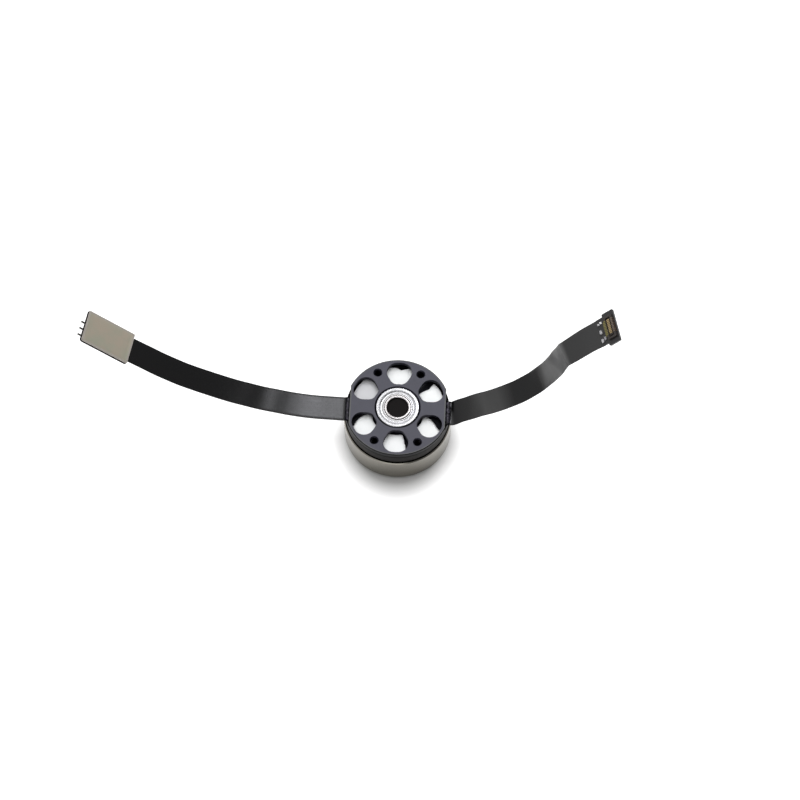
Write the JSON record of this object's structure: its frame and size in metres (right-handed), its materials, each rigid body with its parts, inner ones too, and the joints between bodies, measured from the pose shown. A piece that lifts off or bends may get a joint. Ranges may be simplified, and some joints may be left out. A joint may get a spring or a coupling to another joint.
{
  "type": "gimbal motor",
  "caption": "Flat outrunner motor for a camera gimbal, with a windowed mounting plate, a turning steel bell and two flat ribbon circuits that end in small plugs.",
  "frame": {"origin": "centre of the bell floor, on the motor axis, where the motor stands on a table", "axes": "+Z along the motor axis from the bell to the fixed plate; the ribbons leave along -X (the long one) and +X (the short one)"},
  "size_m": [0.123, 0.0265, 0.0394],
  "materials": {
    "anodised_aluminium": "dark grey anodised",
    "black_ring": "black anodised",
    "bearing_steel": "ground and polished",
    "shield_steel": "pressed",
    "cage_brass": "pressed",
    "core_steel": "stamped laminations",
    "insulator_white": "moulded",
    "enamelled_copper": "enamelled copper wire",
    "white_pad": "soft, matte",
    "flex_black": "satin film",
    "sealant": "glossy",
    "stiffener_steel": "satin",
    "board_black": "moulded",
    "contact_metal": "tinned",
    "contact_gold": "gilt",
    "bell_steel": "nickel plated, satin",
    "shaft_black": "black oxide",
    "magnet_plating": "nickel plated"
  },
  "bodies": {
    "stator": {"top_plate": "anodised_aluminium", "base_ring": "black_ring", "upper_bearing_outer_ring": "bearing_steel", "lower_bearing_outer_ring": "bearing_steel", "upper_bearing_top_shield": "shield_steel", "upper_bearing_bottom_shield": "shield_steel", "lower_bearing_top_shield": "shield_steel", "lower_bearing_bottom_shield": "shield_steel", "preload_washer": "shield_steel", "stator_stack": "core_steel", "upper_insulator": "insulator_white", "lower_insulator": "insulator_white", "coil_1": "enamelled_copper", "coil_2": "enamelled_copper", "coil_3": "enamelled_copper", "coil_4": "enamelled_copper", "coil_5": "enamelled_copper", "coil_6": "enamelled_copper", "coil_7": "enamelled_copper", "coil_8": "enamelled_copper", "coil_9": "enamelled_copper", "phase_leads": "enamelled_copper", "winding_pads": "white_pad", "left_flex_land": "flex_black", "right_flex_land": "flex_black", "left_flex_tail": "flex_black", "right_flex_tail": "flex_black", "left_flex_head": "flex_black", "right_flex_head": "flex_black", "left_exit_seal": "sealant", "right_exit_seal": "sealant", "left_stiffener": "stiffener_steel", "winding_board": "board_black", "right_stiffener": "board_black", "left_connector": "board_black", "right_connector": "board_black", "left_contacts": "contact_metal", "right_components": "contact_metal", "right_contacts": "contact_gold"},
    "rotor": {"bell": "bell_steel", "shaft": "shaft_black", "shim_washer": "cage_brass", "upper_bearing_inner_ring": "bearing_steel", "lower_bearing_inner_ring": "bearing_steel", "magnet_1": "magnet_plating", "magnet_2": "magnet_plating", "magnet_3": "magnet_plating", "magnet_4": "magnet_plating", "magnet_5": "magnet_plating", "magnet_6": "magnet_plating", "magnet_7": "magnet_plating", "magnet_8": "magnet_plating", "magnet_9": "magnet_plating", "magnet_10": "magnet_plating", "magnet_11": "magnet_plating", "magnet_12": "magnet_plating"},
    "upper_cage": {"upper_bearing_cage": "cage_brass", "upper_bearing_balls": "bearing_steel"},
    "lower_cage": {"lower_bearing_cage": "cage_brass", "lower_bearing_balls": "bearing_steel"}
  },
  "joints": [
    {"name": "rotor_spin", "type": "hinge", "parent": "stator", "child": "rotor", "pos_m": [0, 0, 0], "axis": [0, 0, 1], "continuous": true},
    {"name": "upper_cage_spin", "type": "hinge", "parent": "stator", "child": "upper_cage", "pos_m": [0, 0, 0.01], "axis": [0, 0, 1], "continuous": true},
    {"name": "lower_cage_spin", "type": "hinge", "parent": "stator", "child": "lower_cage", "pos_m": [0, 0, 0.0036], "axis": [0, 0, 1], "continuous": true}
  ],
  "couplings": [
    {"joint": "upper_cage_spin", "follows": "rotor_spin", "ratio": 0.4167},
    {"joint": "lower_cage_spin", "follows": "rotor_spin", "ratio": 0.4167}
  ]
}
